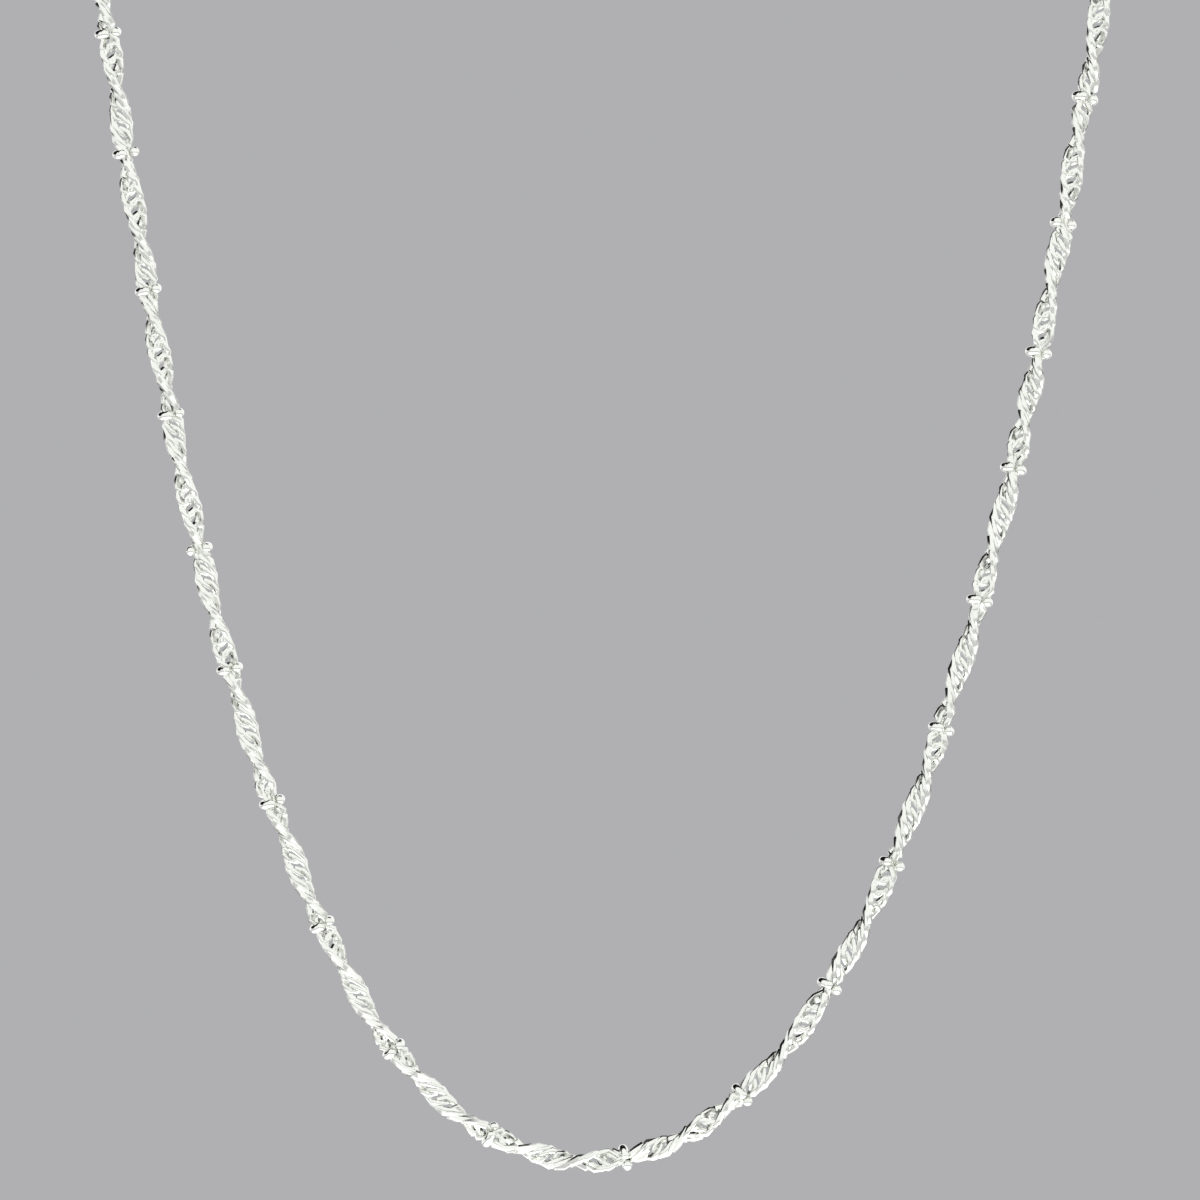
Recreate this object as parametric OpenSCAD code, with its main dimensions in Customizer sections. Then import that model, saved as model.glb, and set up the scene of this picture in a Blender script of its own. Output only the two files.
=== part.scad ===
// Twisted chain necklace: a fine curb chain that turns about its own length as a flat,
// left-handed ribbon, with small rings of round wire closed round it at intervals.
// It is one whole loop, joined at the nape by a plain ring clasp. The front hangs in a
// catenary, and the rest rises over the shoulders and goes plainly round the neck.
// The origin is the middle of the nape, X is to the wearer's left, Y to the back, Z up.

/* [Front curve] */
// Radius of the hanging curve at its lowest point, which sets how wide the front opens
hang_radius = 14.9; // [14:0.1:16]
// Chain on each side of the lowest point that hangs straight down in the front plane
front_arc = 112; // [110:1:116]

/* [Back of the loop] */
// How far the front plane lies before the nape
neck_depth = 72; // [66:1:78]
// How far the nape lies above the place where each strand leaves the front plane
nape_rise = 36; // [30:1:42]
// How firmly each strand keeps going up before it turns back round the neck
rise_reach = 28; // [22:1:34]
// How wide the chain runs round the back of the neck
nape_reach = 48; // [44:1:54]

/* [Chain] */
// Width of the flat chain
chain_w = 2.1; // [1.9:0.05:2.2]
// Thickness of the flat chain
chain_t = 0.9; // [0.8:0.05:1]
// Diameter that the chain is squeezed to where it goes through a ring
waist_d = 0.6; // [0.5:0.05:0.65]
// Length of chain in half a turn of the ribbon, away from the measured front
half_turn_l = 6.2; // [5.5:0.1:7]

/* [Rings on the chain] */
// Diameter of a ring's wire
ring_wire = 0.7; // [0.6:0.02:0.74]
// Diameter of the hole through a ring
ring_bore = 0.76; // [0.74:0.02:0.86]
// Diameter of the rounded bead at each end of a ring's wire
ring_bead = 0.76; // [0.74:0.01:0.78]
// Length of chain from one ring to the next round the back
ring_gap = 10.7; // [10:0.1:11]
// How far a ring leans, with its open side towards the wearer's left end of the chain
ring_lean = 7; // [0:1:8]

/* [Clasp and end links] */
// Outer diameter of the ring clasp
clasp_d = 6; // [5.5:0.1:6.5]
// Diameter of the clasp's wire
clasp_wire = 1.1; // [1:0.05:1.2]
// Outer diameter of the clasp's eye
eye_d = 2.3; // [2.2:0.1:2.5]
// Diameter of the eye's wire
eye_wire = 0.6; // [0.5:0.05:0.6]
// Outer diameter of the two jump rings
jump_d = 3; // [2.9:0.1:3.2]
// Diameter of a jump ring's wire
jump_wire = 0.5; // [0.45:0.05:0.5]
// Outer diameter of the round link at each end of the chain
end_d = 2.2; // [2.1:0.1:2.4]
// Diameter of an end link's wire
end_wire = 0.4; // [0.35:0.05:0.4]

/* [Hidden] */
clearance = 0.1;
ring_fn = 48;
tube_sides = 8;
// Half the length of the waist inside a ring, and the length over which the chain opens again
waist_half = 0.36;
shoulder_l = 0.4;
// Lengths that each free stretch of chain is divided into, between the shoulders at its rings
bays = 6;

// Rings in the front curve. Arc is the chain's length from the lowest point, negative on
// the wearer's right. Face is where the ring's opening looks, in degrees from straight
// ahead towards the outside of the curve. Gap is the opening between the two beads, in
// degrees. Tilt lifts the ring's outer edge along the chain, in degrees.
ARC = 0;
FACE = 1;
GAP = 2;
TILT = 3;
FRONT_RINGS = [
    // arc, face, gap, tilt
    [-103.5, -22, 18, 1],
    [-93.8, -30, 40, 2],
    [-82.7, -22, 12, 2],
    [-72.6, -28, 14, 0],
    [-61.6, 9, 60, 0],
    [-51.7, -14, 14, -3],
    [-40.5, -30, 12, -1],
    [-29.9, -24, 12, 4],
    [-18.4, -14, 8, 5],
    [-8.1, -42, 10, 4],
    [3, 15, 8, 3],
    [13.7, 30, 8, -2],
    [24.9, 20, 8, 1],
    [35.9, 12, 36, 2],
    [47.4, 16, 12, 0],
    [58.1, 15, 12, 3],
    [69, 8, 10, 0],
    [78.5, 16, 14, 1],
    [89, 7, 44, -2],
    [99.2, 18, 20, -5],
];

// The ribbon's turns along the front curve: it turns faster round the lowest point.
TWIST = [
    // arc, half turns
    [-105.4, 0],
    [-43.9, 10],
    [-26.3, 13],
    [-5.4, 17],
    [12, 21],
    [43.6, 26],
    [68.5, 30],
    [77.5, 32],
    [102.4, 36],
];

// How far the chain strays from the catenary, in millimetres out of the curve
STRAY = [
    // arc, out
    [-130, 0],
    [-112, 0.32],
    [-100, 0.18],
    [-85, 0.04],
    [-50, -0.05],
    [-36, -0.15],
    [-28, -0.06],
    [-18, 0.21],
    [-6, 0.17],
    [13, 0.01],
    [36, 0],
    [48, -0.08],
    [60, -0.04],
    [73, 0.05],
    [97, 0.035],
    [112, 0.2],
    [130, 0],
];

// Arithmetic
function unit(v) = v / norm(v);
function arc_sinh(x) = ln(x + sqrt(x * x + 1));
function mix(a, b, t) = a + (b - a) * t;
function smooth(t) = let (c = max(0, min(1, t))) c * c * (3 - 2 * c);

// The clasp and end links, laid out along X from the clasp's middle. Each wire passes
// through its neighbour's hole and stays a clearance from its wire.
clasp_r = (clasp_d - clasp_wire) / 2;
eye_r = (eye_d - eye_wire) / 2;
jump_r = (jump_d - jump_wire) / 2;
end_r = (end_d - end_wire) / 2;
eye_x = -clasp_d / 2 - eye_r;
right_jump_x = eye_x - eye_r + (eye_wire + jump_wire) / 2 + clearance - jump_r;
right_end_x = right_jump_x - jump_r + (jump_wire + end_wire) / 2 + clearance - end_r;
left_jump_x = clasp_r - (clasp_wire + jump_wire) / 2 - clearance + jump_r;
left_end_x = left_jump_x + jump_r - (jump_wire + end_wire) / 2 - clearance + end_r;
right_reach = -right_end_x + end_d / 2 + clearance;
left_reach = left_end_x + end_d / 2 + clearance;
chain_end_x = (right_reach + left_reach) / 2;
clasp_x = (right_reach - left_reach) / 2;

// The route: a catenary in the front plane, then one smooth curve back to the nape
front_end_x = hang_radius * arc_sinh(front_arc / hang_radius);
front_end_h = sqrt(hang_radius ^ 2 + front_arc ^ 2) - hang_radius;
low_z = -nape_rise - front_end_h;
function hanging(arc) = [
    hang_radius * arc_sinh(arc / hang_radius),
    -neck_depth,
    low_z + sqrt(hang_radius ^ 2 + arc ^ 2) - hang_radius,
];
BACK_POINTS = [
    [front_end_x, -neck_depth, -nape_rise],
    [front_end_x, -neck_depth, -nape_rise]
        + rise_reach * unit([hang_radius, 0, front_arc]),
    [chain_end_x + nape_reach, 0, 0],
    [chain_end_x, 0, 0],
];
function bezier(p, t) =
    p[0] * (1 - t) ^ 3 + p[1] * 3 * t * (1 - t) ^ 2 + p[2] * 3 * t ^ 2 * (1 - t) + p[3] * t ^ 3;
bezier_steps = 120;
BACK_LENGTHS = [
    for (
        i = 0, length = 0;
        i <= bezier_steps;
        length = length + norm(
            bezier(BACK_POINTS, (i + 1) / bezier_steps) - bezier(BACK_POINTS, i / bezier_steps)
        ), i = i + 1
    ) [length, i / bezier_steps]
];
back_arc = BACK_LENGTHS[bezier_steps][0];
chain_arc = front_arc + back_arc;
loop_l = 2 * (chain_arc + chain_end_x);

// How the laid chain leaves that line, sideways
function stray(arc) = lookup(arc, STRAY) * unit([arc, 0, -hang_radius]);

// A place on the route, by the chain's length from the lowest point
function route(arc) =
    let (
        a = abs(arc),
        p = a <= front_arc
            ? hanging(a)
            : bezier(BACK_POINTS, lookup(a - front_arc, BACK_LENGTHS))
    )
    [sign(arc) * p.x, p.y, p.z] + stray(arc);
slope_step = 0.05;
function tangent(arc) =
    let (inner = min(abs(arc), chain_arc - 2 * slope_step) * sign(arc))
    unit(route(inner + slope_step) - route(inner - slope_step));
// The side of the chain that looks away from the neck, and the side across it, which
// looks out of the front curve
function outward(along) = unit([along.y, -along.x, 0]);
function across(along) = cross(along, outward(along));

// Half turns of the ribbon from the first row of its table
function half_turns(arc) =
    let (first = TWIST[0], last = TWIST[len(TWIST) - 1])
    arc < first[0] ? first[1] + (arc - first[0]) / half_turn_l
    : arc > last[0] ? last[1] + (arc - last[0]) / half_turn_l
    : lookup(arc, TWIST);

// Every ring, from the wearer's right end of the chain to the left end
last_front = len(FRONT_RINGS) - 1;
back_margin = 4;
function back_count(arc) = floor((chain_arc - back_margin - abs(arc)) / ring_gap);
right_back = back_count(FRONT_RINGS[0][ARC]);
left_back = back_count(FRONT_RINGS[last_front][ARC]);
RINGS = concat(
    [for (i = [right_back:-1:1]) [FRONT_RINGS[0][ARC] - i * ring_gap, 0, 8, 0]],
    FRONT_RINGS,
    [for (i = [1:left_back]) [FRONT_RINGS[last_front][ARC] + i * ring_gap, 0, 8, 0]]
);
function ring_name(i) = str("ring_", i < 9 ? "0" : "", i + 1);

// How open the ribbon is at an arc: 0 inside a ring, 1 in free chain
function openness(arc) =
    let (off = min([for (r = RINGS) abs(arc - r[ARC])]))
    smooth((off - waist_half) / shoulder_l);

// One section of the ribbon: an ellipse, turned left-handed about the chain
function section(arc) =
    let (
        along = tangent(arc),
        out = outward(along),
        side = across(along),
        open = openness(arc),
        wide = mix(waist_d, chain_w, open) / 2,
        thick = mix(waist_d, chain_t, open) / 2,
        turn = 90 + 180 * half_turns(arc),
        broad = cos(turn) * side + sin(turn) * out,
        flat = cos(turn) * out - sin(turn) * side
    )
    [
        for (i = [0:tube_sides - 1])
            let (a = 360 * i / tube_sides)
            route(arc) + broad * wide * cos(a) + flat * thick * sin(a)
    ];

// Stations of the sections: the ends of each ring's waist and shoulders, and more between
function stations(start, stop) =
    let (
        stops = [for (r = RINGS) if (r[ARC] > start && r[ARC] < stop) r[ARC]],
        marks = concat([start - waist_half], stops, [stop + waist_half])
    )
    [
        for (i = [0:len(marks) - 2])
            let (
                low = marks[i] + waist_half,
                high = marks[i + 1] - waist_half,
                free = [for (k = [0:bays]) mix(low + shoulder_l, high - shoulder_l, k / bays)]
            )
            each concat([low], free, [high])
    ];

// A closed tube swept through the sections at the given stations
module ribbon(places) {
    rings = [for (p = places) section(p)];
    last = len(rings) - 1;
    n = tube_sides;
    polyhedron(
        points = [for (r = rings) for (p = r) p],
        faces = concat(
            [[for (i = [0:n - 1]) i]],
            [
                for (j = [0:last - 1]) for (i = [0:n - 1])
                    let (a = j * n + i, b = j * n + (i + 1) % n)
                    each [[a, a + n, b + n], [a, b + n, b]]
            ],
            [[for (i = [n - 1:-1:0]) last * n + i]]
        )
    );
}

module chain_right() {
    color("gainsboro") ribbon(stations(-chain_arc, 0));
}

module chain_left() {
    color("gainsboro") ribbon(stations(0, chain_arc));
}

// Carries its children from a ring's own axes (X out of the curve, Y to the neck, Z along
// the chain) to its place on the route
module on_route(arc) {
    along = tangent(arc);
    out = outward(along);
    side = across(along);
    place = route(arc);
    multmatrix([
        [side.x, -out.x, along.x, place.x],
        [side.y, -out.y, along.y, place.y],
        [side.z, -out.z, along.z, place.z],
        [0, 0, 0, 1],
    ]) children();
}

// A ring of round wire, open in front, with a rounded bead at each end of the wire
module wire_ring(row) {
    wire_r = (ring_bore + ring_wire) / 2;
    bead_turn = 2 * asin(ring_bead / 2 / wire_r);
    wire_turn = 360 - row[GAP] - bead_turn;
    on_route(row[ARC])
        rotate([0, -row[TILT], 0])
            rotate([-ring_lean, 0, 0])
                rotate([0, 0, 90 + row[FACE] - wire_turn / 2]) {
                    rotate_extrude(angle = wire_turn, $fn = ring_fn)
                        translate([wire_r, 0]) circle(d = ring_wire, $fn = ring_fn);
                    for (turn = [0, wire_turn])
                        rotate([0, 0, turn]) translate([wire_r, 0, 0])
                            sphere(d = ring_bead, $fn = ring_fn);
                }
}

module ring(i) {
    color("whitesmoke") wire_ring(RINGS[i]);
}

// A plain closed ring of round wire about Z
module closed_ring(outer, wire) {
    rotate_extrude($fn = ring_fn)
        translate([(outer - wire) / 2, 0]) circle(d = wire, $fn = ring_fn);
}

// The clasp lies flat on the neck: a plain ring with its eye, all one piece
module clasp() {
    color("silver") translate([clasp_x, 0, 0]) rotate([90, 0, 0]) {
        closed_ring(clasp_d, clasp_wire);
        translate([eye_x, 0, 0]) closed_ring(eye_d, eye_wire);
    }
}

module jump_ring(x) {
    color("silver") translate([clasp_x + x, 0, 0]) closed_ring(jump_d, jump_wire);
}

module end_link(x) {
    color("silver") translate([clasp_x + x, 0, 0]) rotate([90, 0, 0])
        closed_ring(end_d, end_wire);
}

chain_right();
chain_left();
for (i = [0:len(RINGS) - 1]) ring(i);
clasp();
jump_ring(right_jump_x);  // jump_ring_right
jump_ring(left_jump_x);  // jump_ring_left
end_link(right_end_x);  // end_link_right
end_link(left_end_x);  // end_link_left
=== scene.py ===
"""Dresses the twisted chain necklace: its curb links, its rings and clasp, and a plain studio.

Every length is in metres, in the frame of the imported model: X to the wearer's left, Y to the back
of the neck, Z up, with the origin at the middle of the nape.
"""

import logging
import math
from dataclasses import dataclass, field
from enum import Enum
from typing import Any

import bpy
from mathutils import Matrix, Vector


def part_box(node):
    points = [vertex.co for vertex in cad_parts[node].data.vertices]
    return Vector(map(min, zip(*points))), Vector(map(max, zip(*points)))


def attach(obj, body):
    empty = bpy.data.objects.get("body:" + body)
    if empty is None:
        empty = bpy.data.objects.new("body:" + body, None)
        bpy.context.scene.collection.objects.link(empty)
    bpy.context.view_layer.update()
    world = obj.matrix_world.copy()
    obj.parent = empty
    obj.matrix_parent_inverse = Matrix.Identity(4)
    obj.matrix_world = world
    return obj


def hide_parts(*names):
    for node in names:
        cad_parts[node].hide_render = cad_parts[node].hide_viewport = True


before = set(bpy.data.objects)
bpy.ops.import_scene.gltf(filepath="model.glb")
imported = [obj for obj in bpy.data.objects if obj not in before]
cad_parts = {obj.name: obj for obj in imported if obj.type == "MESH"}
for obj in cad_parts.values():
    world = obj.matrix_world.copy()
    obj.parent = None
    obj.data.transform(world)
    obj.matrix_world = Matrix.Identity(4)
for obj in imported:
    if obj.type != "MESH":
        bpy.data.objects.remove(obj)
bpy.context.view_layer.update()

MM = 0.001
# A noise texture's values seldom leave this range
NOISE_LOW, NOISE_HIGH = 0.3, 0.7
log = logging.getLogger("necklace")


class Side(Enum):
    """The two halves of the chain, by the wearer's side, each with the sign of its arcs."""

    RIGHT = -1
    LEFT = 1

    @property
    def word(self) -> str:
        """The side's plain word, as node names have it."""
        return self.name.lower()


def srgb(code: str) -> tuple[float, float, float, float]:
    """Turns a colour's hex code into linear values, by the curve of the sRGB standard.

    Args:
        code: six hex digits, red, green and blue as seen on a screen.

    Returns:
        The linear red, green and blue, and an alpha of 1.
    """
    parts = [int(code[i:i + 2], 16) / 255 for i in (0, 2, 4)]
    linear = [p / 12.92 if p <= 0.04045 else ((p + 0.055) / 1.055) ** 2.4 for p in parts]
    return (*linear, 1.0)


def between(place: float, rows: tuple[tuple[float, float], ...]) -> float:
    """Reads a table at a place between its rows.

    Args:
        place: the place to read at.
        rows: rows of place and value, in order of place.

    Returns:
        The value there. Before the first row and after the last it is theirs.
    """
    if place <= rows[0][0]:
        return rows[0][1]
    for (a, start), (b, stop) in zip(rows, rows[1:]):
        if place <= b:
            return start + (stop - start) * (place - a) / (b - a)
    return rows[-1][1]


def add_node(
    tree: bpy.types.NodeTree, kind: str, inputs: dict[str | int, Any] | None = None, **settings: Any
) -> bpy.types.Node:
    """Adds one node to a tree, with its settings and its inputs.

    Args:
        tree: the shader or geometry tree.
        kind: Blender's name for the node's type.
        inputs: each socket's name or number, with a value, a socket that feeds it, or a node
            whose first output does.
        **settings: the node's own options.

    Returns:
        The new node.
    """
    made = tree.nodes.new(kind)
    for name, value in settings.items():
        setattr(made, name, value)
    for key, value in (inputs or {}).items():
        if isinstance(value, bpy.types.Node):
            value = value.outputs[0]
        if isinstance(value, bpy.types.NodeSocket):
            tree.links.new(value, made.inputs[key])
        else:
            made.inputs[key].default_value = value
    return made


def bare_material(name: str) -> bpy.types.Material:
    """Makes a material whose node tree is still empty.

    Args:
        name: the material's name.

    Returns:
        The material.
    """
    material = bpy.data.materials.new(name)
    material.use_nodes = True
    material.node_tree.nodes.clear()
    return material


def put(name: str, data: bpy.types.ID) -> bpy.types.Object:
    """Makes an object and puts it in the scene, at the origin.

    Args:
        name: the object's name.
        data: its mesh, lamp or camera.

    Returns:
        The object.
    """
    made = bpy.data.objects.new(name, data)
    bpy.context.scene.collection.objects.link(made)
    return made


@dataclass(frozen=True)
class Silver:
    """Sterling silver, tumbled and polished: a bright near-white metal, never perfectly smooth.

    Its fine marks and its slightly duller patches spread the highlights a little, so that a wire
    looks like worked metal and not like a mirror.

    Attributes:
        name: the material's name.
        colour: the metal's own tint, an sRGB hex code.
        shade: the tint in its duller patches.
        polish: the roughness where the polish is best.
        haze: how much rougher the duller patches are.
        patches_per_mm: how many patches lie along a millimetre.
        patch_detail: the noise's finer layers in the patches.
        mark_mm: the width of one tumbling mark, drawn coarser than the real 0.01 mm to show.
        mark_detail: the noise's finer layers in the marks.
        mark_depth: the depth of the marks' bump.
        relief: the strength of that bump.
    """

    name: str
    colour: str = "EAEBE6"
    shade: str = "DFE1DB"
    polish: float = 0.16
    haze: float = 0.08
    patches_per_mm: float = 0.35
    patch_detail: float = 2.0
    mark_mm: float = 0.12
    mark_detail: float = 3.0
    mark_depth: float = 0.02 * MM
    relief: float = 0.02

    def make(self) -> bpy.types.Material:
        """Builds the material.

        Returns:
            The node material.
        """
        material = bare_material(self.name)
        tree = material.node_tree
        place = add_node(tree, "ShaderNodeTexCoord").outputs["Object"]
        patches = add_node(
            tree, "ShaderNodeTexNoise",
            {"Vector": place, "Scale": self.patches_per_mm / MM, "Detail": self.patch_detail},
        )
        marks = add_node(
            tree, "ShaderNodeTexNoise",
            {"Vector": place, "Scale": 1 / (self.mark_mm * MM), "Detail": self.mark_detail},
        )
        tint = add_node(
            tree, "ShaderNodeMix",
            {"Factor": patches.outputs["Fac"], "A": srgb(self.colour), "B": srgb(self.shade)},
            data_type="RGBA",
        )
        rough = add_node(
            tree, "ShaderNodeMapRange",
            {"Value": patches.outputs["Fac"], "From Min": NOISE_LOW, "From Max": NOISE_HIGH,
             "To Min": self.polish, "To Max": self.polish + self.haze},
        )
        bump = add_node(
            tree, "ShaderNodeBump",
            {"Height": marks.outputs["Fac"], "Strength": self.relief, "Distance": self.mark_depth},
        )
        metal = add_node(
            tree, "ShaderNodeBsdfPrincipled",
            {"Base Color": tint.outputs["Result"], "Metallic": 1.0,
             "Roughness": rough.outputs["Result"], "Normal": bump.outputs["Normal"]},
        )
        add_node(tree, "ShaderNodeOutputMaterial", {"Surface": metal.outputs["BSDF"]})
        return material


@dataclass(frozen=True)
class Paper:
    """Matt photographer's paper on the floor: pale, even, with a faint fibre tooth.

    Attributes:
        name: the material's name.
        colour: the paper's tint, an sRGB hex code.
        matt: its roughness.
        fibre_mm: the size of its tooth, drawn coarse enough to show.
        fibre_detail: the noise's finer layers in the tooth.
        tooth_depth: the depth of the tooth's bump.
        tooth: the strength of that bump.
    """

    name: str = "matt pale paper"
    colour: str = "F4F4F4"
    matt: float = 0.9
    fibre_mm: float = 1.5
    fibre_detail: float = 2.0
    tooth_depth: float = 0.1 * MM
    tooth: float = 0.1

    def make(self) -> bpy.types.Material:
        """Builds the material.

        Returns:
            The node material.
        """
        material = bare_material(self.name)
        tree = material.node_tree
        place = add_node(tree, "ShaderNodeTexCoord").outputs["Object"]
        fibre = add_node(
            tree, "ShaderNodeTexNoise",
            {"Vector": place, "Scale": 1 / (self.fibre_mm * MM), "Detail": self.fibre_detail},
        )
        bump = add_node(
            tree, "ShaderNodeBump",
            {"Height": fibre.outputs["Fac"], "Strength": self.tooth, "Distance": self.tooth_depth},
        )
        paper = add_node(
            tree, "ShaderNodeBsdfPrincipled",
            {"Base Color": srgb(self.colour), "Roughness": self.matt, "Normal": bump.outputs["Normal"]},
        )
        add_node(tree, "ShaderNodeOutputMaterial", {"Surface": paper.outputs["BSDF"]})
        return material


@dataclass
class Route:
    """The line that the chain's middle follows, by the length of chain from the lowest point.

    The front hangs in a catenary, from which the laid chain strays a little. From its ends one
    smooth curve a side goes back round the neck, and a straight stretch holds the clasp. The sizes
    are those of the part's source.

    Attributes:
        hang_radius: the catenary's radius at its lowest point.
        front_arc: chain a side that hangs in the front plane.
        neck_depth: how far the front plane lies before the nape.
        nape_rise: how far the nape lies above the front's ends.
        rise_reach: the first handle of the curve round the neck.
        nape_reach: its second handle.
        chain_end: half the gap between the chain's ends at the nape.
        stray: rows of arc and of how far the chain strays out of the curve there.
        steps: how many pieces the curve round the neck is measured in.
        low: the height of the catenary's lowest point.
        handles: the four points that rule the curve round the neck.
        lengths: that curve's length up to the end of each of its pieces.
        chain_arc: chain from the lowest point to its end at the nape.
        half_loop: half of the whole loop, with the clasp's share.
    """

    hang_radius: float = 14.9 * MM
    front_arc: float = 112 * MM
    neck_depth: float = 72 * MM
    nape_rise: float = 36 * MM
    rise_reach: float = 28 * MM
    nape_reach: float = 48 * MM
    chain_end: float = 6.85 * MM
    stray: tuple[tuple[float, float], ...] = (
        # arc in mm, out in mm
        (-130, 0), (-112, 0.32), (-100, 0.18), (-85, 0.04), (-50, -0.05), (-36, -0.15),
        (-28, -0.06), (-18, 0.21), (-6, 0.17), (13, 0.01), (36, 0), (48, -0.08),
        (60, -0.04), (73, 0.05), (97, 0.035), (112, 0.2), (130, 0),
    )
    steps: int = 400
    low: float = field(init=False)
    handles: list[Vector] = field(init=False)
    lengths: list[float] = field(init=False)
    chain_arc: float = field(init=False)
    half_loop: float = field(init=False)

    def __post_init__(self) -> None:
        """Works out the curve round the neck and its length."""
        reach = math.hypot(self.hang_radius, self.front_arc)
        self.low = -self.nape_rise - (reach - self.hang_radius)
        start = self.hanging(self.front_arc)
        rise = Vector((self.hang_radius, 0, self.front_arc)).normalized()
        end = Vector((self.chain_end, 0, 0))
        self.handles = [
            start, start + rise * self.rise_reach, end + Vector((self.nape_reach, 0, 0)), end
        ]
        self.lengths = [0.0]
        for i in range(self.steps):
            step = self.bend((i + 1) / self.steps) - self.bend(i / self.steps)
            self.lengths.append(self.lengths[-1] + step.length)
        self.chain_arc = self.front_arc + self.lengths[-1]
        self.half_loop = self.chain_arc + self.chain_end

    def hanging(self, arc: float) -> Vector:
        """The catenary's point at an arc.

        Args:
            arc: length of chain from the lowest point.

        Returns:
            The point.
        """
        aside = self.hang_radius * math.asinh(arc / self.hang_radius)
        rise = math.hypot(self.hang_radius, arc) - self.hang_radius
        return Vector((aside, -self.neck_depth, self.low + rise))

    def bend(self, t: float) -> Vector:
        """The point of the curve round the neck at a parameter.

        Args:
            t: the curve's parameter, from 0 at the front to 1 at the nape.

        Returns:
            The point.
        """
        a, b, c, d = self.handles
        return a * (1 - t) ** 3 + b * (3 * t * (1 - t) ** 2) + c * (3 * t * t * (1 - t)) + d * t ** 3

    def at(self, arc: float) -> Vector:
        """The route's point at an arc.

        Args:
            arc: length of chain from the lowest point, negative on the wearer's right.

        Returns:
            The point.
        """
        away = abs(arc)
        if away <= self.front_arc:
            point = self.hanging(away)
        elif away <= self.chain_arc:
            point = self.bend(self._parameter(away - self.front_arc))
        else:
            point = Vector((self.chain_end + self.chain_arc - away, 0, 0))
        out = Vector((arc, 0, -self.hang_radius)).normalized()
        point.x = math.copysign(1, arc) * point.x
        return point + out * self._stray(arc)

    def _stray(self, arc: float) -> float:
        """How far the chain strays at an arc, out of the curve."""
        return between(arc / MM, self.stray) * MM

    def _parameter(self, length: float) -> float:
        """The parameter of the curve round the neck at a length along it.

        Args:
            length: the curve's length from the front.

        Returns:
            The parameter from 0 to 1.
        """
        low, high = 0, self.steps
        while high - low > 1:
            middle = (low + high) // 2
            low, high = (middle, high) if self.lengths[middle] <= length else (low, middle)
        share = (length - self.lengths[low]) / (self.lengths[high] - self.lengths[low])
        return (low + share) / self.steps

    def tangent(self, arc: float, step: float = 0.02 * MM) -> Vector:
        """The route's direction at an arc.

        Args:
            arc: length of chain from the lowest point.
            step: half the length that the direction is measured over.

        Returns:
            The unit direction of a growing arc.
        """
        return (self.at(arc + step) - self.at(arc - step)).normalized()

    def nearest(self, place: Vector, reach: float = 4 * MM, close: float = 0.005 * MM) -> float:
        """The arc of the route's point that is nearest to a place.

        Args:
            place: the place to look for.
            reach: the spacing of the first, coarse search.
            close: the spacing at which the search is fine enough.

        Returns:
            The arc.
        """
        count = int(self.half_loop / reach)
        tried = [i * reach for i in range(-count, count + 1)]
        best = min(tried, key=lambda arc: (self.at(arc) - place).length)
        while reach > close:
            reach /= 2
            tried = [best - reach, best, best + reach]
            best = min(tried, key=lambda arc: (self.at(arc) - place).length)
        return best


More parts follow.
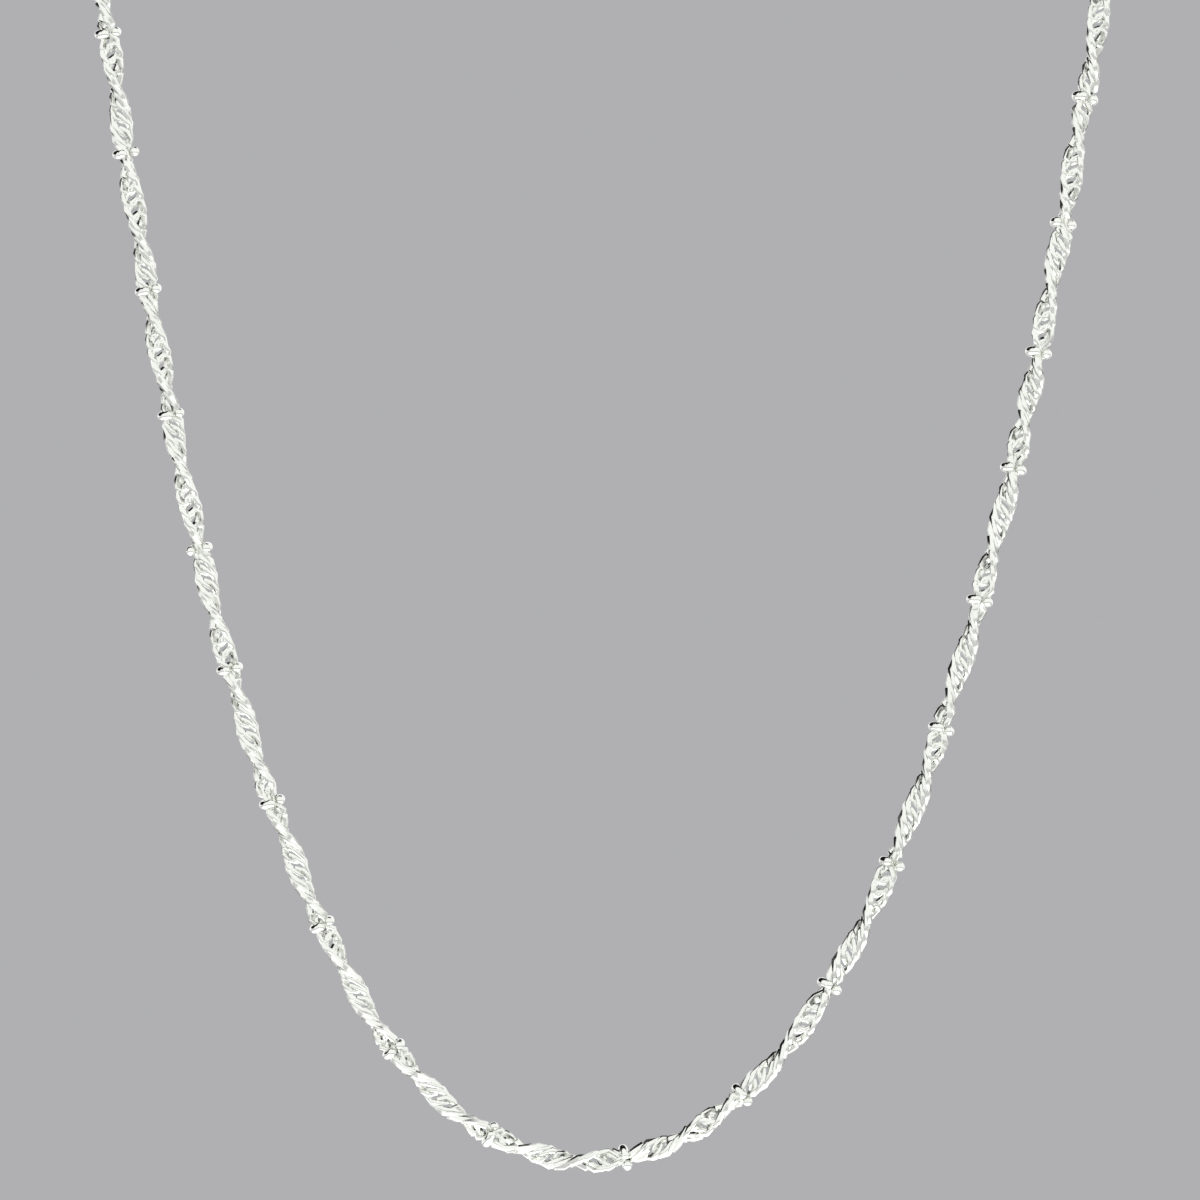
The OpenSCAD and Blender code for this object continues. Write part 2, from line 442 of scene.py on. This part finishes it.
@dataclass
class Ribbon:
    """How the flat chain turns and narrows along its route.

    Attributes:
        route: the line of the chain.
        waists: the arcs of the rings, where the chain is squeezed.
        twist: rows of arc and half turns along the front, as the part's source has them.
        half_turn: chain in half a turn beyond the table's ends.
        waist_half: half the length of a squeezed stretch.
        shoulder: the length over which the chain opens again.
        end_reach: the length over which it narrows towards its ends.
        end_share: how open it is at its very ends, where the end links hold it.
    """

    route: Route
    waists: list[float]
    twist: tuple[tuple[float, int], ...] = (
        # arc in mm, half turns
        (-105.4, 0), (-43.9, 10), (-26.3, 13), (-5.4, 17), (12, 21),
        (43.6, 26), (68.5, 30), (77.5, 32), (102.4, 36),
    )
    half_turn: float = 6.2 * MM
    waist_half: float = 0.3 * MM
    shoulder: float = 0.3 * MM
    end_reach: float = 2.0 * MM
    end_share: float = 0.4

    def half_turns(self, arc: float) -> float:
        """Half turns of the ribbon from the table's first row.

        Args:
            arc: length of chain from the lowest point.

        Returns:
            The number of half turns.
        """
        first, last = self.twist[0][0] * MM, self.twist[-1][0] * MM
        beyond = min(arc - first, 0) + max(arc - last, 0)
        return between(arc / MM, self.twist) + beyond / self.half_turn

    def openness(self, arc: float) -> float:
        """How open the ribbon is: 0 inside a ring, 1 in free chain, less at the chain's ends.

        Args:
            arc: length of chain from the lowest point.

        Returns:
            The share from 0 to 1.
        """
        off = min(abs(arc - waist) for waist in self.waists)
        share = max(0.0, min(1.0, (off - self.waist_half) / self.shoulder))
        eased = share * share * (3 - 2 * share)
        inside = max(0.0, min(1.0, (self.route.chain_arc - abs(arc)) / self.end_reach))
        return eased * (self.end_share + (1 - self.end_share) * inside)

    def guide(
        self, name: str, start: float, stop: float, spacing: float = 0.15 * MM
    ) -> bpy.types.Object:
        """A line of points along the route that carries the ribbon's facts as attributes.

        Args:
            name: the object's name.
            start: the first point's arc.
            stop: the last point's arc.
            spacing: the greatest distance between points.

        Returns:
            A mesh object of points and edges alone.
        """
        count = math.ceil((stop - start) / spacing)
        arcs = [start + (stop - start) * i / count for i in range(count + 1)]
        mesh = bpy.data.meshes.new(name)
        mesh.from_pydata([self.route.at(a) for a in arcs], [(i, i + 1) for i in range(count)], [])
        broad, flat, opened = [], [], []
        for arc in arcs:
            along = self.route.tangent(arc)
            out = Vector((along.y, -along.x, 0)).normalized()
            side = along.cross(out)
            # After each whole half turn the ribbon shows its edge, so it starts a quarter turn on
            turn = math.pi * (0.5 + self.half_turns(arc))
            broad.extend(side * math.cos(turn) + out * math.sin(turn))
            flat.extend(out * math.cos(turn) - side * math.sin(turn))
            opened.append(self.openness(arc))
        for word, kind, key, facts in (
            ("broad", "FLOAT_VECTOR", "vector", broad),
            ("flat", "FLOAT_VECTOR", "vector", flat),
            ("opened", "FLOAT", "value", opened),
        ):
            mesh.attributes.new(word, kind, "POINT").data.foreach_set(key, facts)
        return put(name, mesh)


@dataclass
class CurbLinks:
    """The chain itself: curb links of flattened wire, each passed through its neighbours.

    They turn with the ribbon and are squeezed where a ring holds them.

    Attributes:
        ribbon: how the chain turns and narrows.
        pitch: the chain's length from one link to the next.
        half_length: half a link's length, to the wire's middle.
        half_width: half a link's width, to the wire's middle.
        lean: how far a link's tips lie aside, across the chain, as a share of the half width.
        bend: how far a link's sides are bent out of its plane, to the wire's middle.
        wire_width: the wire's width, along the flat of the chain.
        wire_depth: its depth, through the chain.
        waist_width: how much of the width is left inside a ring.
        waist_bend: how much of the bend is left inside a ring.
        waist_wire: how much of the wire's thickness is left there.
        hook: how far the last link's wire goes past the chain's end, into the end link.
        corners: points round a link.
        sides: sides of the wire.
        crisp: the least product of x and y, in a section one wide, at a crisp corner of the wire.
        inputs: the node tree's inputs, as rows of name and type.
    """

    ribbon: Ribbon
    pitch: float = 1.15 * MM
    half_length: float = 1.5 * MM
    half_width: float = 0.69 * MM
    lean: float = -0.35
    bend: float = 0.2 * MM
    wire_width: float = 0.68 * MM
    wire_depth: float = 0.44 * MM
    waist_width: float = 0.15
    waist_bend: float = 0.6
    waist_wire: float = 0.6
    hook: float = 0.75 * MM
    corners: int = 10
    sides: int = 6
    crisp: float = 0.08
    inputs: tuple[tuple[str, str], ...] = (
        # name, type
        ("Guide", "Geometry"), ("Links", "Int"), ("First", "Float"), ("Pitch", "Float"),
        ("Link", "Vector"), ("Lean", "Float"), ("Wire", "Vector"), ("Waist width", "Float"),
        ("Waist bend", "Float"), ("Waist wire", "Float"), ("Corners", "Int"), ("Sides", "Int"),
        ("Crisp", "Float"), ("Metal", "Material"),
    )

    def tree(self) -> bpy.types.NodeTree:
        """Builds the node tree that lays links along a guide line.

        Returns:
            The geometry node tree.
        """
        tree = bpy.data.node_groups.new("links along a ribbon", "GeometryNodeTree")
        for name, kind in self.inputs:
            tree.interface.new_socket(name, in_out="INPUT", socket_type=f"NodeSocket{kind}")
        tree.interface.new_socket("Mesh", in_out="OUTPUT", socket_type="NodeSocketGeometry")
        given = add_node(tree, "NodeGroupInput").outputs
        laid = self._laid(tree, given)
        wire = self._wire(tree, given)
        swept = add_node(tree, "GeometryNodeCurveToMesh", {"Curve": laid, "Profile Curve": wire})

        # The wire keeps a crisp edge along its flats and is smooth everywhere else
        smooth = add_node(tree, "GeometryNodeSetShadeSmooth", {"Geometry": swept})
        flank = add_node(
            tree, "GeometryNodeInputNamedAttribute", {"Name": "flank"}, data_type="FLOAT"
        )
        size = add_node(tree, "ShaderNodeMath", {0: flank}, operation="ABSOLUTE")
        edge = add_node(
            tree, "ShaderNodeMath", {0: size, 1: given["Crisp"]}, operation="GREATER_THAN"
        )
        edged = add_node(
            tree, "GeometryNodeSetShadeSmooth",
            {"Geometry": smooth, "Selection": edge, "Shade Smooth": False}, domain="EDGE",
        )
        real = add_node(tree, "GeometryNodeRealizeInstances", {"Geometry": edged})
        metal = add_node(
            tree, "GeometryNodeSetMaterial", {"Geometry": real, "Material": given["Metal"]}
        )
        add_node(tree, "NodeGroupOutput", {"Mesh": metal})
        return tree

    def _laid(
        self, tree: bpy.types.NodeTree, given: bpy.types.bpy_prop_collection
    ) -> bpy.types.Node:
        """Adds the nodes that bend the links' outlines and lay them on the ribbon.

        Args:
            tree: the tree that lays the links.
            given: the sockets of its inputs.

        Returns:
            The node that gives the links as closed curves, with their normals and radii.
        """
        # One unit circle for each link. A point's x and y say where it lies along and across its
        # link, and twice their product bends the four quarters to the front and back by turns.
        loop = add_node(
            tree, "GeometryNodeCurvePrimitiveCircle", {"Resolution": given["Corners"], "Radius": 1.0}
        )
        many = add_node(
            tree, "GeometryNodeDuplicateElements",
            {"Geometry": loop, "Amount": given["Links"]}, domain="SPLINE",
        )
        position = add_node(tree, "GeometryNodeInputPosition")
        unit = add_node(tree, "ShaderNodeSeparateXYZ", {0: position}).outputs
        product = add_node(
            tree, "ShaderNodeMath", {0: unit["X"], 1: unit["Y"]}, operation="MULTIPLY"
        )
        bent = add_node(tree, "ShaderNodeMath", {0: product, 1: 2.0}, operation="MULTIPLY")
        leant = add_node(
            tree, "ShaderNodeMath",
            {0: unit["X"], 1: given["Lean"], 2: unit["Y"]}, operation="MULTIPLY_ADD",
        )
        saddle = add_node(
            tree, "ShaderNodeCombineXYZ", {"X": unit["X"], "Y": leant, "Z": bent}
        )
        sized = add_node(
            tree, "ShaderNodeVectorMath", {0: saddle, 1: given["Link"]}, operation="MULTIPLY"
        )
        shape = add_node(tree, "ShaderNodeSeparateXYZ", {0: sized}).outputs

        # Each point's own arc along the guide, so that a link turns with the ribbon
        centre = add_node(
            tree, "ShaderNodeMath",
            {0: many.outputs["Duplicate Index"], 1: given["Pitch"], 2: given["First"]},
            operation="MULTIPLY_ADD",
        )
        arc = add_node(tree, "ShaderNodeMath", {0: centre, 1: shape["X"]}, operation="ADD")
        line = add_node(tree, "GeometryNodeMeshToCurve", {"Mesh": given["Guide"]})
        at = {}
        for word, kind in (("broad", "FLOAT_VECTOR"), ("flat", "FLOAT_VECTOR"), ("opened", "FLOAT")):
            named = add_node(
                tree, "GeometryNodeInputNamedAttribute", {"Name": word}, data_type=kind
            )
            at[word] = add_node(
                tree, "GeometryNodeSampleCurve", {"Curves": line, "Value": named, "Length": arc},
                data_type=kind, mode="LENGTH", use_all_curves=True,
            )

        # What a ring leaves of the chain's width, its bend and its wire
        left = {}
        for word in ("Waist width", "Waist bend", "Waist wire"):
            left[word] = add_node(
                tree, "ShaderNodeMapRange", {"Value": at["opened"], "To Min": given[word]}
            )
        place = at["opened"].outputs["Position"]
        for reach, share, way in (
            (shape["Y"], left["Waist width"], at["broad"]),
            (shape["Z"], left["Waist bend"], at["flat"]),
        ):
            far = add_node(tree, "ShaderNodeMath", {0: reach, 1: share}, operation="MULTIPLY")
            move = add_node(
                tree, "ShaderNodeVectorMath", {0: way, "Scale": far}, operation="SCALE"
            )
            place = add_node(
                tree, "ShaderNodeVectorMath", {0: place, 1: move}, operation="ADD"
            )

        # The wire's flats lie on the chain's two faces
        moved = add_node(
            tree, "GeometryNodeSetPosition", {"Geometry": many, "Position": place}
        )
        turned = add_node(
            tree, "GeometryNodeSetCurveNormal", {"Curve": moved, "Normal": at["flat"]}, mode="FREE"
        )
        return add_node(
            tree, "GeometryNodeSetCurveRadius", {"Curve": turned, "Radius": left["Waist wire"]}
        )

    def _wire(
        self, tree: bpy.types.NodeTree, given: bpy.types.bpy_prop_collection
    ) -> bpy.types.Node:
        """Adds the nodes that draw the wire's section, which is flat above and below.

        The product of a corner's x and y, kept as "flank", tells the four corners of the flats
        from the two points at the sides.

        Args:
            tree: the tree that lays the links.
            given: the sockets of its inputs.

        Returns:
            The node that gives the section.
        """
        circle = add_node(
            tree, "GeometryNodeCurvePrimitiveCircle", {"Resolution": given["Sides"], "Radius": 0.5}
        )
        position = add_node(tree, "GeometryNodeInputPosition")
        corner = add_node(tree, "ShaderNodeSeparateXYZ", {0: position}).outputs
        flank = add_node(
            tree, "ShaderNodeMath", {0: corner["X"], 1: corner["Y"]}, operation="MULTIPLY"
        )
        marked = add_node(
            tree, "GeometryNodeStoreNamedAttribute",
            {"Geometry": circle, "Name": "flank", "Value": flank},
            data_type="FLOAT", domain="POINT",
        )
        return add_node(
            tree, "GeometryNodeTransform", {"Geometry": marked, "Scale": given["Wire"]}
        )

    def build(
        self, side: Side, tree: bpy.types.NodeTree, metal: bpy.types.Material
    ) -> bpy.types.Object:
        """Makes one half of the chain.

        Args:
            side: which half.
            tree: the tree that lays the links.
            metal: the links' material.

        Returns:
            The half chain as one plain mesh.
        """
        last = self.ribbon.route.chain_arc - self.half_length + self.hook
        gaps = round(2 * last / self.pitch)
        pitch = 2 * last / gaps
        arcs = [i * pitch - last for i in range(gaps + 1)]
        mine = [arc for arc in arcs if math.copysign(1, arc) == side.value]
        # The guide reaches well past the tips of the outermost links
        margin = 2 * self.half_length
        start, stop = mine[0] - margin, mine[-1] + margin
        guide = self.ribbon.guide(f"guide_{side.word}", start, stop)
        values = {
            "Links": len(mine), "First": mine[0] - start, "Pitch": pitch,
            "Link": (self.half_length, self.half_width, self.bend), "Lean": self.lean,
            "Wire": (self.wire_width, self.wire_depth, 1.0), "Waist width": self.waist_width,
            "Waist bend": self.waist_bend, "Waist wire": self.waist_wire,
            "Corners": self.corners, "Sides": self.sides, "Crisp": self.crisp, "Metal": metal,
        }
        modifier = guide.modifiers.new("links", "NODES")
        modifier.node_group = tree
        for socket in tree.interface.items_tree:
            if socket.in_out == "INPUT" and socket.name in values:
                modifier[socket.identifier] = values[socket.name]
        evaluated = guide.evaluated_get(bpy.context.evaluated_depsgraph_get())
        mesh = bpy.data.meshes.new_from_object(evaluated)
        guide.modifiers.clear()
        bpy.data.objects.remove(guide)
        mesh.name = f"links_{side.word}"
        made = put(mesh.name, mesh)
        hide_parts(f"chain_{side.word}")
        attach(made, "root")
        return made


@dataclass
class Findings:
    """The rings on the chain, the clasp, the jump rings and the end links.

    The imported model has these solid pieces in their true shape, so they only take their finish.

    Attributes:
        ring_metal: the finish of the rings on the chain.
        clasp_metal: the finish of the clasp, the jump rings and the end links.
    """

    # Round wire keeps a mirror polish, which draws the thin black lines on the rings. The clasp
    # and the plain links beside it are a little softer, with broader highlights.
    ring_metal: Silver = Silver("polished sterling silver, round wire", polish=0.04, haze=0.04)
    clasp_metal: Silver = Silver(
        "polished sterling silver, cast and tumbled", polish=0.09, mark_mm=0.2
    )

    def rings(self) -> list[str]:
        """The names of the rings on the chain, in order."""
        return sorted(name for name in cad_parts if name.startswith("ring_"))

    def waists(self, route: Route) -> list[float]:
        """The arcs at which the rings' middles lie.

        Args:
            route: the chain's line.

        Returns:
            One arc for each ring, in the rings' order.
        """
        return [route.nearest(sum(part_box(name), Vector()) / 2) for name in self.rings()]

    def dress(self) -> dict[str, str]:
        """Gives every kept node its material.

        Returns:
            The name of each node's material, by the node's name.
        """
        ring, clasp = self.ring_metal.make(), self.clasp_metal.make()
        rings = self.rings()
        finishes = {}
        for name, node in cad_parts.items():
            if name.startswith("chain_"):
                continue
            metal = ring if name in rings else clasp
            node.data.materials.clear()
            node.data.materials.append(metal)
            finishes[name] = metal.name
        return finishes


@dataclass
class Studio:
    """The camera as the photo had it, a pale floor far below, and soft light from all round.

    Attributes:
        picture_px: the photo's width and height.
        pixel: the size of one of its pixels in the front plane.
        lowest_px: where the hanging curve's lowest point lies in it.
        roll: how far the camera leans to its left, in degrees.
        distance: from the camera to the front plane.
        sensor: the width of the camera's sensor.
        sight: the nearest and the farthest that the camera sees.
        floor_drop: how far the floor lies below the lowest point.
        floor_radius: the floor's radius.
        floor_sides: how many straight sides the round floor has.
        lamp_width: the diameter of the soft lamp that shines up from the floor.
        lamp_height: how far it stands above the floor.
        lamp_watts: its power.
        dark_back: the direction of the dark side behind the necklace.
        dark_side: the direction in which the dark part of it lies.
        dark_from: how far back the dark begins, as the cosine from dark_back.
        dark_reach: how far round it reaches, as the cosine from dark_side.
        dark_edge: how softly it ends, in the same measure.
        bright: the strength of the soft white light.
        dim: what is left of it on the dark side.
        backdrop: the tone behind the necklace, an sRGB hex code.
    """

    picture_px: int = 1200
    pixel: float = 0.08 * MM
    lowest_px: tuple[float, float] = (587.1, 1159.1)
    roll: float = 0.72
    distance: float = 0.5
    sensor: float = 36 * MM
    sight: tuple[float, float] = (0.01, 100.0)
    floor_drop: float = 0.5
    floor_radius: float = 3.0
    floor_sides: int = 64
    lamp_width: float = 1.6
    lamp_height: float = 0.02
    lamp_watts: float = 7.5
    dark_back: tuple[float, float, float] = (0.0, 1.0, 0.0)
    dark_side: tuple[float, float, float] = (-0.5, 0.0, 0.866)
    dark_from: float = -0.08
    dark_reach: float = 0.38
    dark_edge: float = 0.15
    bright: float = 1.18
    dim: float = 0.01
    backdrop: str = "B0B0B2"

    def camera(self, route: Route) -> bpy.types.Object:
        """Places the camera so that the curve's lowest point falls on its place in the photo.

        Args:
            route: the chain's line.

        Returns:
            The camera.
        """
        data = bpy.data.cameras.new("camera")
        view = put("camera", data)
        lean = math.radians(self.roll)
        right = Vector((math.cos(lean), 0, math.sin(lean)))
        up = Vector((-math.sin(lean), 0, math.cos(lean)))
        back = Vector((0, -1, 0))
        middle = (self.picture_px - 1) / 2
        offset = right * (self.lowest_px[0] - middle) + up * (middle - self.lowest_px[1])
        centre = route.hanging(0) - offset * self.pixel
        turned = Matrix((right, up, back)).transposed().to_4x4()
        view.matrix_world = Matrix.Translation(centre + back * self.distance) @ turned
        data.sensor_width = self.sensor / MM
        data.lens = data.sensor_width * self.distance / (self.picture_px * self.pixel)
        data.clip_start, data.clip_end = self.sight
        bpy.context.scene.camera = view
        return view

    def floor(self, height: float) -> None:
        """Lays the pale floor.

        Args:
            height: the floor's height.
        """
        mesh = bpy.data.meshes.new("floor")
        turns = [2 * math.pi * i / self.floor_sides for i in range(self.floor_sides)]
        radius = self.floor_radius
        rim = [(radius * math.cos(turn), radius * math.sin(turn), height) for turn in turns]
        mesh.from_pydata(rim, [], [list(range(self.floor_sides))])
        mesh.materials.append(Paper().make())
        put("floor", mesh)

    def lamp(self, height: float) -> None:
        """Sets a soft lamp just above the floor, which shines up at the necklace.

        Args:
            height: the floor's height.
        """
        data = bpy.data.lights.new("soft lamp", "AREA")
        data.shape = "DISK"
        data.size = self.lamp_width
        data.energy = self.lamp_watts
        lamp = put("soft lamp", data)
        upward = Matrix.Rotation(math.pi, 4, "X")
        lamp.matrix_world = Matrix.Translation((0, 0, height + self.lamp_height)) @ upward
        lamp.visible_camera = False

    def light(self) -> None:
        """Sets the soft light round the necklace and the grey behind it.

        Soft white light comes from the camera's side, from below and from the right. Behind the
        necklace, above it and to its left the studio is dark, which draws the thin dark lines.
        """
        world = bpy.data.worlds.new("studio")
        bpy.context.scene.world = world
        world.use_nodes = True
        tree = world.node_tree
        tree.nodes.clear()
        looking = add_node(tree, "ShaderNodeTexCoord").outputs["Generated"]
        zones = []
        for way, begin in ((self.dark_back, self.dark_from), (self.dark_side, self.dark_reach)):
            cosine = add_node(
                tree, "ShaderNodeVectorMath", {0: looking, 1: way}, operation="DOT_PRODUCT"
            ).outputs["Value"]
            zones.append(add_node(
                tree, "ShaderNodeMapRange",
                {"Value": cosine, "From Min": begin, "From Max": begin + self.dark_edge},
                interpolation_type="SMOOTHSTEP",
            ))
        dark = add_node(tree, "ShaderNodeMath", {0: zones[0], 1: zones[1]}, operation="MULTIPLY")
        shade = add_node(
            tree, "ShaderNodeMapRange", {"Value": dark, "To Min": self.bright, "To Max": self.dim}
        )
        path = add_node(tree, "ShaderNodeLightPath")
        seen = add_node(
            tree, "ShaderNodeMix",
            {"Factor": path.outputs["Is Camera Ray"], "A": shade, "B": srgb(self.backdrop)},
            data_type="RGBA",
        )
        glow = add_node(
            tree, "ShaderNodeBackground", {"Color": seen.outputs["Result"], "Strength": 1.0}
        )
        add_node(tree, "ShaderNodeOutputWorld", {"Surface": glow})
        bpy.context.scene.view_settings.view_transform = "Standard"


def main() -> None:
    """Builds the necklace's pieces in order, then the studio."""
    logging.basicConfig(level=logging.INFO, format="%(name)s: %(message)s")
    route = Route()
    findings = Findings()
    links = CurbLinks(Ribbon(route, findings.waists(route)))
    tree = links.tree()
    metal = Silver("polished sterling silver, drawn wire").make()
    for side in Side:
        half = links.build(side, tree, metal)
        log.info("%s: %d faces, %s", half.name, len(half.data.polygons), metal.name)
    for name, finish in findings.dress().items():
        log.info("%s: %s", name, finish)
    studio = Studio()
    view = studio.camera(route)
    log.info("camera: %.0f mm lens", view.data.lens)
    height = route.at(0).z - studio.floor_drop
    studio.floor(height)
    studio.lamp(height)
    studio.light()


if __name__ == "__main__":
    main()
